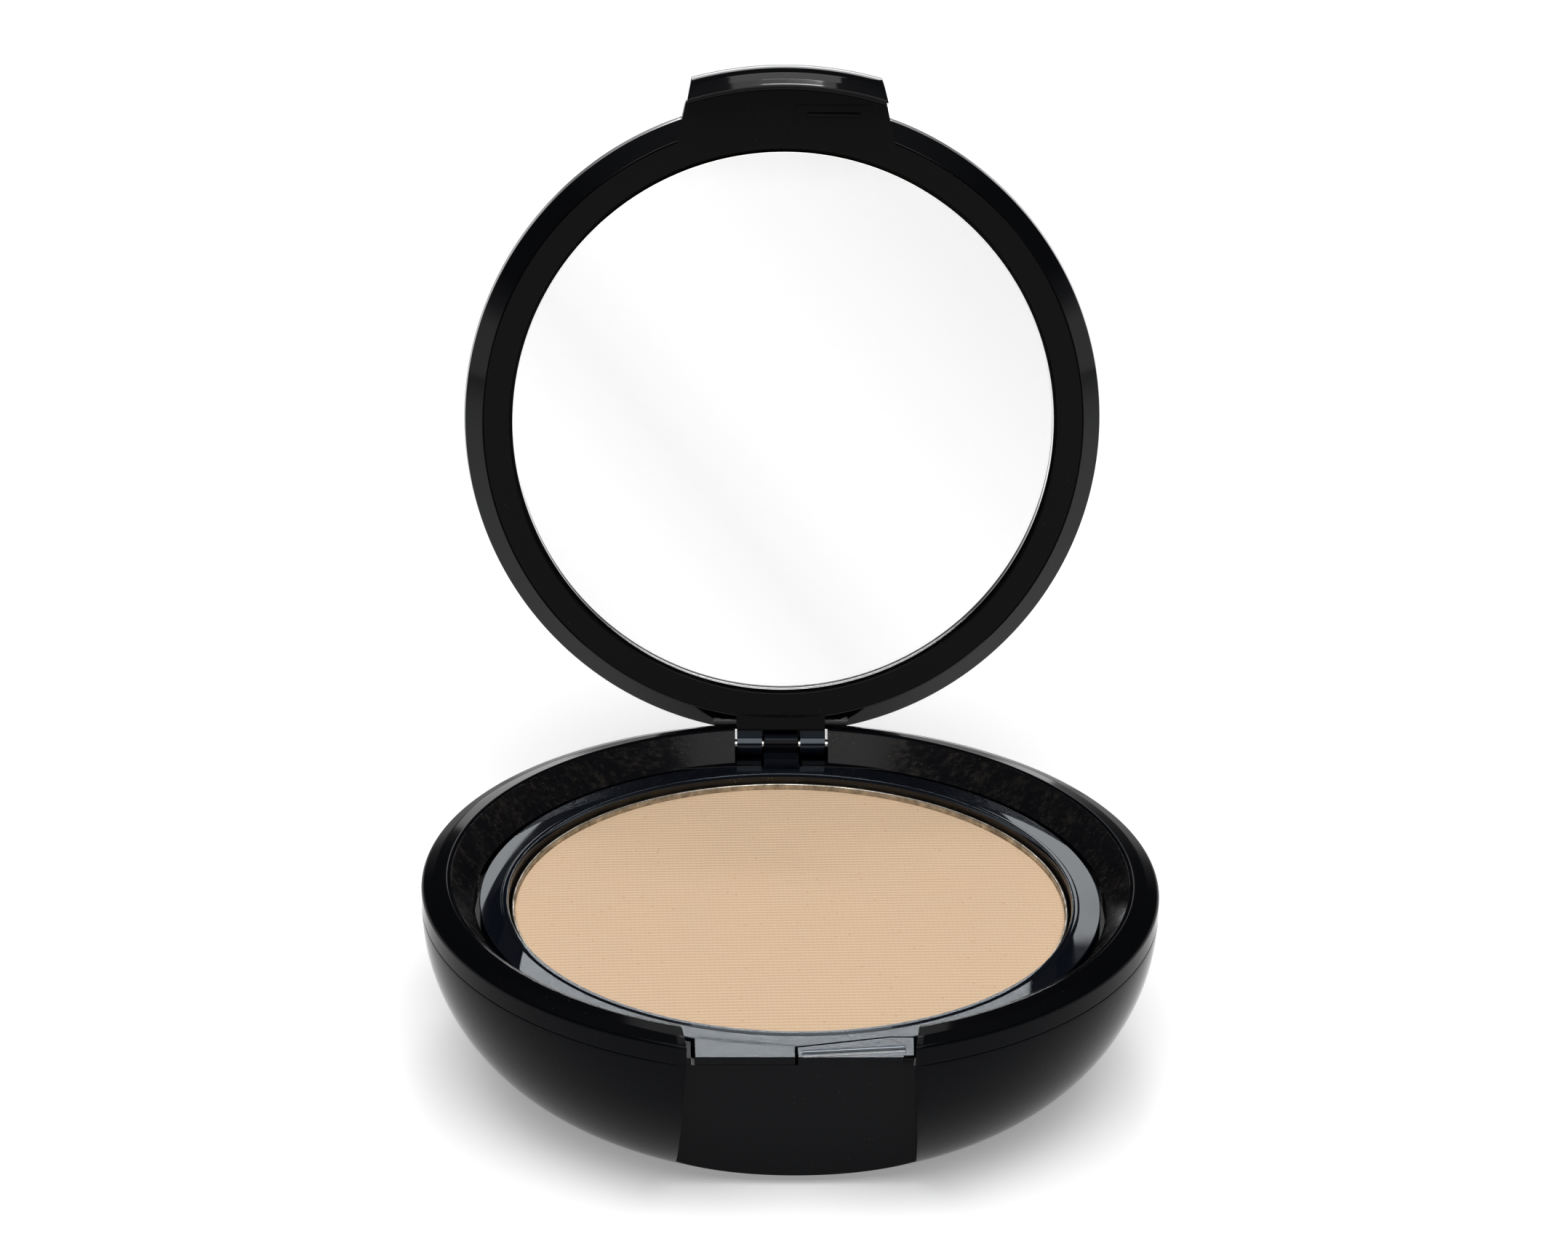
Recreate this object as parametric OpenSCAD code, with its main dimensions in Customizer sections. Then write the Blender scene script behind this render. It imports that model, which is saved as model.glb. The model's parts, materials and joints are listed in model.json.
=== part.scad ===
// Round powder compact with a mirror lid, a lifting powder tray and a deep lower compartment.
// The base stands on its flat foot at z = 0, with its axis on Z and the hinge at the back (+Y).
// The lid is drawn shut and then swung open about the hinge pin.

/* [Base] */
// Outer diameter of the base
base_d = 78; // [77:0.5:79]
// Height of the rim's crown above the foot
rim_z = 22; // [21.8:0.1:22.2]
// Height of the seam between bowl and collar
seam_z = 19.14; // [19:0.02:19.2]
// Radius of the bowl's side curve
bowl_curve_r = 19.9; // [19.8:0.1:20.2]
// Wall thickness of the bowl
bowl_wall = 1.6; // [1.4:0.1:1.8]
// Radius of the rim's inner edge, where the lid nests
rim_in_r = 35.85; // [35.8:0.05:36]

/* [Hinge] */
// Distance of the pin behind the axis of the base
pin_y = 36.5; // [36.4:0.05:36.6]
// Height of the pin
pin_z = 19.65; // [19.6:0.05:19.7]
// Diameter of the pin
pin_d = 1.2; // [1:0.1:1.3]
// Angle that the lid stands open, counted from shut
open_angle = 104; // [0:1:104]

/* [Tray and powder] */
// Outer radius of the tray
tray_r = 32.9; // [32.5:0.1:33]
// Height of the tray's top face
tray_z = 19; // [18.9:0.05:19]
// Outer diameter of the metal pan
pan_d = 59; // [58:0.5:59]
// Height of the powder's surface
powder_z = 17.86; // [16:0.1:17.9]

/* [Lid] */
// Height of the lid's flat ring above the foot when shut
ring_z = 19.3; // [19.3:0.05:19.4]
// Outer radius of the lid's flat ring
ring_r = 33.4; // [33.3:0.05:33.5]
// Greatest radius of the lid
lid_r = 35.7; // [35.5:0.05:35.75]
// Radius of the mirror glass
mirror_r = 30.2; // [29:0.1:30.3]
// How far the tab hangs below the flat ring
tab_drop = 5.3; // [4.9:0.1:5.3]

/* [Hidden] */
$fn = 96;
slack = 0.1;
over = 30;

base_r = base_d / 2;
curve_x = base_r - bowl_curve_r;
floor_z = bowl_wall;
foot_r = curve_x + sqrt(bowl_curve_r * bowl_curve_r - seam_z * seam_z);
foot_arc = asin(seam_z / bowl_curve_r);
inner_curve_r = bowl_curve_r - bowl_wall;
floor_arc = asin((seam_z - floor_z) / inner_curve_r);

// Rim: a crowned band, then a sloping seat down to the ledge that carries the tray
band_top_z = rim_z - 0.74;
seat_foot_r = 33.43;
seat_foot_z = rim_z - 3.06;
ledge_z = tray_z - 1.1;
ledge_r = 31.7;
spigot_z = 16.5;
spigot_r = 37.1;

// Label under the foot
label_r = 18;
label_t = 0.2;

// Thumb recess and front notch
recess_y = -35.2;
recess_top_z = 19.2;
recess_low_y = -28.3;
recess_low_z = 1.7;
recess_slope = (recess_low_y - recess_y) / (recess_top_z - recess_low_z);
recess_half = 11.1;
recess_flare = 0.07;
recess_wall = 1.5;
step_z = 17.6;
notch_in = 11.85;
notch_in_y = -34;
notch_out = 11.1;
notch_out_y = -39;

// Hinge
pin_half = 7.5;
lid_knuckle_r = 1.35;
tray_knuckle_r = 1.2;
pocket_r = 1.6;
hinge_half = 5.2;
heel_r = 2.85;
heel_half = 7.6;
tongue_half = 4.95;
centre_half = 1.95;
centre_slot = 2.25;
bore_r = pin_d / 2 + 0.05;
shelf_curve_r = 73;
shelf_y = 32.13;

// Tray, pan and powder
bead_r = 30.19;
bead_h = 0.2;
well_r = 29.8;
well_floor_z = 13.9;
well_wall = 0.95;
glue_h = 0.2;
pan_wall = 0.3;
pan_rim_z = 18.2;
finger_out = -10.5;
finger_in = -0.5;
keeper_in = -0.2;
keeper_out = 10.2;
post_out = 11.35;
post_w = 0.7;

// Lid
pocket_z = ring_z + 1.9;
frame_top_z = ring_z + 2.7;
bevel_r = lid_r - 0.2;
bevel_z = rim_z - 0.3;
wide_z = 23.15;
edge_r = 2.5;
edge_arc = 80;
edge_x = lid_r - edge_r;
dome_join_x = edge_x + edge_r * cos(edge_arc);
dome_join_z = wide_z + edge_r * sin(edge_arc);
dome_r = dome_join_x / cos(edge_arc);
dome_cz = dome_join_z - dome_r * sin(edge_arc);
skin = 1.3;
glass_gap = 0.3;
glass_t = 1.35;
silver_t = 0.1;
plate_t = 1;
plate_r = 37;
tab_out_r = 39.9;
tab_in_r = 37.6;
tab_end_z = ring_z - tab_drop;
tab_root = 11.45;
tab_root_y = -34;
tab_tip = 10.55;
tab_tip_y = -38.25;
hook_in = 0.9;
hook_out = 9.6;
hook_front_y = -35.4;
hook_back_y = -31.5;
hook_t = 0.6;

// Points along an arc from angle a0 to angle a1
function arc(cx, cz, r, a0, a1, n = 12) =
    [for (i = [0:n]) let (a = a0 + (a1 - a0) * i / n) [cx + r * cos(a), cz + r * sin(a)]];

// Half width of a shape that narrows evenly from one y to another
function taper(half_a, y_a, half_b, y_b, y) = half_a + (half_b - half_a) * (y - y_a) / (y_b - y_a);

module swing() {
    translate([0, pin_y, pin_z]) rotate([-open_angle, 0, 0]) translate([0, -pin_y, -pin_z]) children();
}

// A round bar along X on the hinge axis
module on_hinge(r, x0, x1) {
    translate([x0, pin_y, pin_z]) rotate([0, 90, 0]) cylinder(r = r, h = x1 - x0);
}

// A flat prism along X from a side outline given as [y, z] points
module side_prism(points, x0, x1) {
    translate([x0, 0, 0]) rotate([90, 0, 90]) linear_extrude(x1 - x0) polygon(points);
}

// The space of the thumb recess, moved back by a wall thickness when back > 0
module recess_space(back = 0) {
    intersection() {
        translate([0, -20, 0]) rotate([90, 0, 0]) linear_extrude(over) polygon([
            [-(recess_half + recess_flare * seam_z + back), -1],
            [recess_half + recess_flare * seam_z + back, -1],
            [recess_half + back, seam_z],
            [recess_half + back, rim_z + 1],
            [-(recess_half + back), rim_z + 1],
            [-(recess_half + back), seam_z]]);
        side_prism([
            [-base_r - 5, -1],
            [recess_low_y + (recess_low_z + 1) * recess_slope + back, -1],
            [recess_y + back, recess_top_z],
            [recess_y + back, rim_z + 1],
            [-base_r - 5, rim_z + 1]], -over, over);
    }
}

// The gap in the collar that the lid's tab passes through
module front_notch(z0, z1) {
    translate([0, 0, z0]) linear_extrude(z1 - z0) polygon([
        [-taper(notch_in, notch_in_y, notch_out, notch_out_y, -31.5), -31.5],
        [-taper(notch_in, notch_in_y, notch_out, notch_out_y, -41), -41],
        [taper(notch_in, notch_in_y, notch_out, notch_out_y, -41), -41],
        [taper(notch_in, notch_in_y, notch_out, notch_out_y, -31.5), -31.5]]);
}

module bowl_solid() {
    rotate_extrude() polygon(concat([[0, 0], [foot_r, 0]],
        arc(curve_x, seam_z, bowl_curve_r, -foot_arc, 0, 24), [[0, seam_z]]));
}

module base_bowl() {
    color("#0b0b0d") difference() {
        union() {
            difference() {
                bowl_solid();
                rotate_extrude() polygon(concat([[0, floor_z]],
                    arc(curve_x, seam_z, inner_curve_r, -floor_arc, 0, 24),
                    [[curve_x + inner_curve_r, seam_z + 1], [0, seam_z + 1]]));
            }
            // wall behind the thumb recess
            intersection() {
                bowl_solid();
                recess_space(recess_wall);
                translate([-over, -base_r - 5, 0.5]) cube([2 * over, over, step_z - 0.5]);
            }
            // posts either side of finger tab and keeper
            for (x = [-post_out, keeper_out + 0.15])
                translate([x, recess_y, step_z - 0.5])
                    cube([post_w, recess_wall - 0.1, tray_z - step_z + 0.45]);
        }
        recess_space();
        translate([0, 0, -1]) cylinder(r = label_r + 0.1, h = 1 + label_t);
        on_hinge(pocket_r, -hinge_half, hinge_half);
        on_hinge(pin_d / 2, -pin_half, pin_half);
    }
}
module foot_label() {
    color("#d8d8d4") cylinder(r = label_r, h = label_t);
}

module base_collar() {
    color("#0c0c0e") difference() {
        union() {
            rotate_extrude() polygon([
                [ledge_r, spigot_z], [spigot_r, spigot_z], [spigot_r, seam_z], [base_r, seam_z],
                [base_r, band_top_z], [base_r - 0.25, band_top_z + 0.24], [base_r - 1.1, band_top_z + 0.5],
                [rim_in_r + 0.4, rim_z - 0.03], [rim_in_r, rim_z - 0.12],
                [seat_foot_r, seat_foot_z], [seat_foot_r, ledge_z], [ledge_r, ledge_z]]);
            // shelf at the back, beside the tray's hinge strap
            intersection() {
                translate([-13.6, 28, spigot_z]) cube([27.2, 8, tray_z - spigot_z]);
                cylinder(r = spigot_r, h = over);
                difference() {
                    cylinder(r = 60, h = over);
                    translate([0, shelf_y - shelf_curve_r, -1])
                        cylinder(r = shelf_curve_r + 0.15, h = over + 2, $fn = 180);
                }
            }
        }
        // weight-saving grooves under both sides
        for (turn = [0, 180]) rotate([0, 0, turn]) rotate([0, 0, -52]) rotate_extrude(angle = 104)
            polygon([[34.6, spigot_z - 1], [36.1, spigot_z - 1], [36.1, 20.2], [34.6, 20.2]]);
        // front: passage for the tab, and room for the recess wall of the bowl
        front_notch(step_z, rim_z + 1);
        intersection() {
            recess_space(recess_wall + 0.1);
            translate([-over, -base_r - 5, 0]) cube([2 * over, over, step_z + slack]);
        }
        // back: passage for the tongue, pockets for the knuckles and the tray's strap
        translate([-hinge_half, 32.6, tray_z]) cube([2 * hinge_half, 8, over]);
        on_hinge(pocket_r, -hinge_half, hinge_half);
        translate([-centre_slot, 30, ledge_z - slack]) cube([2 * centre_slot, 7.2, over]);
        on_hinge(pin_d / 2, -pin_half, pin_half);
    }
}

module latch_keeper() {
    color("#101012") difference() {
        intersection() {
            translate([keeper_in, recess_y, step_z])
                cube([keeper_out - keeper_in, 3.6, tray_z - step_z]);
            difference() {
                cylinder(r = base_r, h = over);
                translate([0, 0, -1]) cylinder(r = tray_r + 0.4, h = over + 2);
            }
        }
        // sloping lead-in and the groove that the hook's ridge drops into
        translate([(keeper_in + keeper_out) / 2, -34.3, tray_z + 0.12]) rotate([0, 90, 0])
            cylinder(r = 0.6, h = keeper_out - keeper_in - 2.4, center = true);
        recess_space();
    }
}

module hinge_pin() {
    color("#b9bcc0") on_hinge(pin_d / 2, -pin_half + 0.1, pin_half - 0.1);
}

module powder_tray() {
    color("#0d0d10") difference() {
        union() {
            intersection() {
                rotate_extrude() polygon(concat([
                    [0, well_floor_z - 1], [well_r + well_wall, well_floor_z - 1],
                    [well_r + well_wall, ledge_z], [tray_r, ledge_z], [tray_r, tray_z],
                    [bead_r + 0.55, tray_z]],
                    arc(bead_r, tray_z - 0.1, bead_h + 0.1, 20, 160, 6),
                    [[bead_r - 0.38, tray_z - 0.25], [well_r, pan_rim_z - 0.1], [well_r, well_floor_z],
                    [0, well_floor_z]]));
                translate([0, shelf_y - shelf_curve_r, 0]) cylinder(r = shelf_curve_r, h = over, $fn = 180);
            }
            // finger tab at the front
            difference() {
                translate([finger_out, recess_y, ledge_z])
                    cube([finger_in - finger_out, 4.5, tray_z - ledge_z]);
                translate([0, 0, -1]) cylinder(r = tray_r - 0.5, h = over);
                recess_space();
            }
            // strap to the middle knuckle
            translate([-centre_half, shelf_y - 1, ledge_z])
                cube([2 * centre_half, pin_y - shelf_y + 1, tray_z - ledge_z]);
            on_hinge(tray_knuckle_r, -centre_half, centre_half);
        }
        on_hinge(bore_r, -centre_half - 1, centre_half + 1);
    }
}

module powder_pan() {
    color("#c9c6bd") rotate_extrude() polygon([
        [0, well_floor_z + glue_h], [pan_d / 2 - 0.6, well_floor_z + glue_h],
        [pan_d / 2, well_floor_z + glue_h + 0.6], [pan_d / 2, pan_rim_z], [pan_d / 2 - pan_wall, pan_rim_z],
        [pan_d / 2 - pan_wall, well_floor_z + glue_h + pan_wall],
        [0, well_floor_z + glue_h + pan_wall]]);
}

module pan_glue() {
    color("#d9d2b4") for (turn = [0:90:270]) rotate([0, 0, turn + 45])
        translate([17, 0, well_floor_z]) cylinder(r = 3.5, h = glue_h);
}

module pressed_powder() {
    color("#dec09c") translate([0, 0, well_floor_z + glue_h + pan_wall])
        cylinder(r = pan_d / 2 - pan_wall, h = powder_z - well_floor_z - glue_h - pan_wall);
}

module applicator_puff() {
    color("#e6cdb4") translate([0, 1, floor_z]) rotate_extrude() polygon(concat([[0, 0]],
        arc(22.9, 2.1, 2.1, -90, 0, 5), arc(22.9, 4.4, 2.1, 0, 90, 5), [[0, 6.5]]));
}

// The dome's outline, drawn in by a skin thickness
function dome(in) = concat(arc(edge_x, wide_z, edge_r - in, 0, edge_arc, 8),
    [for (i = [1:10]) let (a = edge_arc + (90 - edge_arc) * i / 10)
        [(dome_r - in) * cos(a), dome_cz + (dome_r - in) * sin(a)]]);

module tab_plan(out_r, z0, z1, shrink = 0) {
    intersection() {
        translate([0, 0, z0]) linear_extrude(z1 - z0) polygon([
            [-taper(tab_root, tab_root_y, tab_tip, tab_tip_y, -30) + shrink, -30],
            [-taper(tab_root, tab_root_y, tab_tip, tab_tip_y, -41) + shrink, -41],
            [taper(tab_root, tab_root_y, tab_tip, tab_tip_y, -41) - shrink, -41],
            [taper(tab_root, tab_root_y, tab_tip, tab_tip_y, -30) - shrink, -30]]);
        cylinder(r = out_r, h = 2 * over);
    }
}

module lid_shell() {
    color("#0b0b0d") swing() difference() {
        union() {
            rotate_extrude() polygon(concat([[ring_r, ring_z], [bevel_r, bevel_z]], dome(0),
                [[0, dome_cz + dome_r - skin]],
                [for (i = [10:-1:2]) let (a = edge_arc + (90 - edge_arc) * i / 10)
                    [(dome_r - skin) * cos(a), dome_cz + (dome_r - skin) * sin(a)]],
                [[32.2, 25.2], [32.2, frame_top_z], [ring_r, frame_top_z]]));
            // tab that reaches over the rim and hangs in front of the thumb recess
            intersection() {
                rotate_extrude() polygon(concat([[33.6, frame_top_z], [33.6, 25.2]],
                    [[35, 24.9], [36.6, 24], [38, 22.9], [39.1, 21.4]],
                    [[39.75, 20], [tab_out_r, 19], [39.7, 17.4], [39.15, 15.9], [38.5, tab_end_z + 0.87],
                    [37.9, tab_end_z], [tab_in_r + 0.1, tab_end_z], [tab_in_r, tab_end_z + 0.15],
                    [tab_in_r, ring_z], [plate_r + slack, ring_z], [plate_r + slack, frame_top_z - 0.4]]));
                tab_plan(base_r + 5, 0, 2 * over);
            }
        }
        // seat of the frame's front plate and of its tongue
        tab_plan(plate_r + slack, ring_z - 1, ring_z + plate_t, -0.01);
        translate([-tongue_half - 0.05, 30, ring_z - 1])
            cube([2 * tongue_half + 0.1, 8, frame_top_z - ring_z + 1]);
        // room for the rim of the collar as the lid swings back
        on_hinge(heel_r, -heel_half, heel_half);
    }
}

module lid_frame() {
    color("#151517") swing() difference() {
        union() {
            difference() {
                translate([0, 0, ring_z]) cylinder(r = ring_r - slack, h = frame_top_z - ring_z);
                translate([0, 0, ring_z - 1]) cylinder(r = mirror_r + glass_gap, h = 1 + pocket_z - ring_z);
            }
            // front plate over the notch
            difference() {
                tab_plan(plate_r, ring_z, ring_z + plate_t, 0.05);
                translate([0, 0, ring_z - 1]) cylinder(r = ring_r - 0.6, h = 4);
            }
            // tongue and knuckles
            translate([-tongue_half, 31.5, ring_z]) cube([2 * tongue_half, 4, frame_top_z - ring_z - 0.1]);
            side_prism([[35.4, ring_z], [35.4, frame_top_z - 0.1], [pin_y, pin_z + 1.3], [pin_y, ring_z]],
                -tongue_half, tongue_half);
            on_hinge(lid_knuckle_r, -tongue_half, tongue_half);
        }
        translate([-centre_slot, 34.9, 0]) cube([2 * centre_slot, 5, pin_z + 1.4]);
        on_hinge(bore_r, -tongue_half - 1, tongue_half + 1);
        hook_seat();
    }
}

module hook_seat() {
    translate([hook_in - 0.05, hook_front_y - 0.05, ring_z - 1])
        cube([hook_out - hook_in + 0.1, hook_back_y - hook_front_y + 0.1, 1 + hook_t]);
}

module latch_hook() {
    color("#121214") swing() union() {
        translate([hook_in, hook_front_y, ring_z])
            cube([hook_out - hook_in, hook_back_y - hook_front_y, hook_t]);
        translate([(hook_in + hook_out) / 2, -34.3, ring_z + 0.12]) rotate([0, 90, 0])
            cylinder(r = 0.35, h = 5.8, center = true);
    }
}

module mirror_glass() {
    color("#eef1f2") swing() translate([0, 0, pocket_z - 0.2 - silver_t - glass_t])
        cylinder(r = mirror_r, h = glass_t);
}

module mirror_silvering() {
    color("#f4f4f4") swing() translate([0, 0, pocket_z - 0.2 - silver_t])
        cylinder(r = mirror_r, h = silver_t);
}

module mirror_tape() {
    color("#3a3a3a") swing() translate([0, 0, pocket_z - 0.2]) cylinder(r = mirror_r - 2, h = 0.2);
}

base_bowl();
base_collar();
latch_keeper();
hinge_pin();
powder_tray();
powder_pan();
pan_glue();
pressed_powder();
applicator_puff();
foot_label();
lid_shell();
lid_frame();
latch_hook();
mirror_glass();
mirror_silvering();
mirror_tape();
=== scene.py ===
"""Round powder compact: gloss black shells, a mirror lid standing open and a tray of pressed powder.

Every length below is in millimetres and is turned into metres as it reaches the mesh. The base stands on its
foot at z = 0 with its axis on Z. Lid pieces are modelled shut and then swung open about the hinge pin.
"""
import json
import math

import bpy
from mathutils import Matrix, Vector


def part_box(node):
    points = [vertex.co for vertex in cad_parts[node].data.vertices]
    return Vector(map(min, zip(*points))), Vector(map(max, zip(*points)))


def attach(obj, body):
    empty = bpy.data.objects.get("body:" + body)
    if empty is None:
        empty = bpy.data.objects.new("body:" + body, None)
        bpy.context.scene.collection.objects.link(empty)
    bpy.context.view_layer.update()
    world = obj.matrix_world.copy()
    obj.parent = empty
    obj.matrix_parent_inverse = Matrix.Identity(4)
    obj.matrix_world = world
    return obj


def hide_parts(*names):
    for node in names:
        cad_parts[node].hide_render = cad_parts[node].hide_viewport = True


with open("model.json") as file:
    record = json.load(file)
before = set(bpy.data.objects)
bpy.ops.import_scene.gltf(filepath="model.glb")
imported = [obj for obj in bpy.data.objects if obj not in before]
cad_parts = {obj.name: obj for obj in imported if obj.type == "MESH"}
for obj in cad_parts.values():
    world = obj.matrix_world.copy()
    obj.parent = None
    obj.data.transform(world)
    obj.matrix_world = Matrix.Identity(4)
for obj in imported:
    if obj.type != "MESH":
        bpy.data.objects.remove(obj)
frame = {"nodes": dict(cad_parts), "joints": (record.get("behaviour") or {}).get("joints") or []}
bpy.ops.object.select_all(action="DESELECT")
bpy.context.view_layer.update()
MM = 0.001
WELD = 0.002
ROUND_STEPS = 5


def top_of(node):
    """Height of a node's highest point, in millimetres."""
    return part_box(node)[1].z / MM


def reach_of(node):
    """How far a node reaches along +X, in millimetres."""
    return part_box(node)[1].x / MM


HINGE = frame["joints"][0]
PIN_Y = HINGE["pos_m"][1] / MM
PIN_Z = HINGE["pos_m"][2] / MM
OPEN_ANGLE = math.radians(-HINGE["range_deg"][0])

# Base
BASE_R = reach_of("base_collar")
RIM_Z = top_of("base_collar")
SEAM_Z = top_of("base_bowl")
TRAY_Z = 19.0
TRAY_R = 32.9
PAN_WALL = 0.3
KEEPER_GAP = 0.22
POWDER_Z = top_of("pressed_powder")
PAN_R = reach_of("powder_pan")
PAN_Z = top_of("powder_pan")
CURVE_R = 19.9
CURVE_X = BASE_R - CURVE_R
FOOT_R = 24.5
WALL = 1.6
RIM_INNER_R = 35.85
SEAT_FOOT_R = 33.43
LEDGE_Z = TRAY_Z - 1.1
FLOOR_Z = WALL
WELL_FLOOR_Z = 13.9

# Front notch, thumb recess and hinge gap
RECESS_Y = -35.2
RECESS_TOP_Z = 19.2
RECESS_LOW_Y = -28.3
RECESS_LOW_Z = 1.7
RECESS_HALF = 11.1
RECESS_FLARE = 0.07
STEP_Z = 17.86
HINGE_HALF = 5.2
TONGUE_HALF = 4.95
STRAP_HALF = 1.95
KNUCKLE_R = 1.35
STRAP_KNUCKLE_R = 1.2
SHELF_Y = 32.13
SHELF_CURVE_R = 73
SHELF_BACK_R = 34.2
STRAP_ROOM = 2.25
OUTSIDE_Y = -50

# Lid
RING_Z = 19.3
RING_R = 33.4
LID_R = reach_of("lid_shell")
MIRROR_R = reach_of("mirror_glass")
MIRROR_Z = 19.55
MIRROR_T = 1.35
SILVER_GAP = 0.005
SILVER_T = 0.09
FRAME_LAP = 0.3
PLATE_R = 37
TAB_OUT_R = 39.9
TAB_IN_R = 37.6
TAB_END_Z = RING_Z - 5.3
TAB_SIDES = ((11.45, -34), (10.55, -38.25))
NOTCH_SIDES = ((11.85, -34), (11.1, -39))


# ---------------------------------------------------------------- modelling helpers

def begin(name):
    """Starts a piece as one vertex at the origin, in edit mode."""
    bpy.ops.object.select_all(action="DESELECT")
    bpy.ops.mesh.primitive_plane_add(size=MM)
    piece = bpy.context.object
    piece.name = name
    piece.data.name = name
    bpy.ops.object.mode_set(mode="EDIT")
    bpy.ops.mesh.select_all(action="SELECT")
    bpy.ops.mesh.merge(type="COLLAPSE")
    return piece


def draw_line(points):
    """Draws the selected vertex out along points given in millimetres."""
    bpy.ops.transform.translate(value=Vector(points[0]) * MM)
    for here, there in zip(points, points[1:]):
        step = (Vector(there) - Vector(here)) * MM
        bpy.ops.mesh.extrude_region_move(TRANSFORM_OT_translate={"value": step})


def fill_outline():
    """Closes a drawn outline with one face."""
    bpy.ops.mesh.select_all(action="SELECT")
    bpy.ops.mesh.remove_doubles(threshold=WELD * MM)
    bpy.ops.mesh.edge_face_add()


def close_up():
    """Merges doubled vertices, points every face outwards and leaves edit mode."""
    bpy.ops.mesh.select_all(action="SELECT")
    bpy.ops.mesh.remove_doubles(threshold=WELD * MM)
    bpy.ops.mesh.normals_make_consistent(inside=False)
    bpy.ops.object.mode_set(mode="OBJECT")


def arc(cx, cz, r, start, end, steps=8):
    """Points along an arc, with angles in degrees, as sharp corners of an outline."""
    turn = math.radians(end - start) / steps
    first = math.radians(start)
    return [(cx + r * math.cos(first + turn * i), cz + r * math.sin(first + turn * i), 0)
            for i in range(steps + 1)]


def rounded(corners):
    """Turns corners (x, z, radius) of a closed outline into points, with an arc at every rounded corner."""
    points = []
    count = len(corners)
    for i, (x, z, r) in enumerate(corners):
        here = Vector((x, z))
        if not r:
            points.append(here)
            continue
        to_last = Vector(corners[i - 1][:2]) - here
        to_next = Vector(corners[(i + 1) % count][:2]) - here
        half = to_last.angle(to_next) / 2
        reach = min(r / math.tan(half), to_last.length * 0.49, to_next.length * 0.49)
        r = reach * math.tan(half)
        a = here + to_last.normalized() * reach
        b = here + to_next.normalized() * reach
        centre = here + (to_last.normalized() + to_next.normalized()).normalized() * (r / math.sin(half))
        for k in range(ROUND_STEPS + 1):
            t = k / ROUND_STEPS
            spoke = ((a - centre) * (1 - t) + (b - centre) * t).normalized() * r
            points.append(centre + spoke)
    return points


def lathe(name, corners, steps=240):
    """Spins a closed outline of corners (r, z, radius) once round the Z axis."""
    piece = begin(name)
    outline = [(p.x, 0, p.y) for p in rounded(corners)]
    draw_line(outline + outline[:1])
    bpy.ops.mesh.select_all(action="SELECT")
    bpy.ops.mesh.spin(steps=steps, angle=math.tau, center=(0, 0, 0), axis=(0, 0, 1))
    close_up()
    return piece


def sector(name, corners, first, last, steps=110, bevel=0.12):
    """Spins a closed outline round Z from angle first(r) to last(r), with its two end faces softened."""
    piece = begin(name)
    outline = [(p.x, 0, p.y) for p in rounded(corners)]
    draw_line(outline + outline[:1])
    fill_outline()
    bpy.ops.mesh.spin(steps=steps, angle=1, center=(0, 0, 0), axis=(0, 0, 1))
    close_up()
    for v in piece.data.vertices:
        r = math.hypot(v.co.x, v.co.y)
        t = abs(math.atan2(v.co.y, v.co.x))
        a = first(r / MM) + t * (last(r / MM) - first(r / MM))
        v.co.x = r * math.cos(a)
        v.co.y = r * math.sin(a)
    recalculate(piece)
    soften(piece, bevel, 50)
    return piece


def recalculate(piece):
    """Points every face of a piece outwards."""
    select_only(piece)
    bpy.ops.object.mode_set(mode="EDIT")
    bpy.ops.mesh.select_all(action="SELECT")
    bpy.ops.mesh.normals_make_consistent(inside=False)
    bpy.ops.object.mode_set(mode="OBJECT")


def slab(name, outline, z0, z1, bevel=0):
    """Extrudes a closed outline of (x, y) points from height z0 to z1."""
    piece = begin(name)
    draw_line([(x, y, z0) for x, y in outline] + [(*outline[0], z0)])
    fill_outline()
    bpy.ops.mesh.extrude_region_move(TRANSFORM_OT_translate={"value": (0, 0, (z1 - z0) * MM)})
    close_up()
    if bevel:
        soften(piece, bevel, 40)
    return piece


def bar(name, outline, x0, x1, bevel=0):
    """Extrudes a closed side outline of (y, z) points along X from x0 to x1."""
    piece = begin(name)
    draw_line([(x0, y, z) for y, z in outline] + [(x0, *outline[0])])
    fill_outline()
    bpy.ops.mesh.extrude_region_move(TRANSFORM_OT_translate={"value": ((x1 - x0) * MM, 0, 0)})
    close_up()
    if bevel:
        soften(piece, bevel, 40)
    return piece


def select_only(*pieces):
    """Selects these pieces and makes the first one active."""
    bpy.ops.object.select_all(action="DESELECT")
    for piece in pieces:
        piece.select_set(True)
    bpy.context.view_layer.objects.active = pieces[0]


def apply_all(piece):
    """Applies every modifier of a piece."""
    select_only(piece)
    for modifier in list(piece.modifiers):
        bpy.ops.object.modifier_apply(modifier=modifier.name)


def soften(piece, width, angle=30, segments=3):
    """Rounds the edges that are sharper than angle."""
    bevel = piece.modifiers.new("soft edges", "BEVEL")
    bevel.width = width * MM
    bevel.segments = segments
    bevel.limit_method = "ANGLE"
    bevel.angle_limit = math.radians(angle)
    apply_all(piece)


def carve(piece, tool, operation="DIFFERENCE"):
    """Cuts a tool out of a piece, or adds it, and throws the tool away."""
    boolean = piece.modifiers.new("cut", "BOOLEAN")
    boolean.operation = operation
    boolean.solver = "EXACT"
    boolean.object = tool
    apply_all(piece)
    bpy.data.objects.remove(tool)


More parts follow.
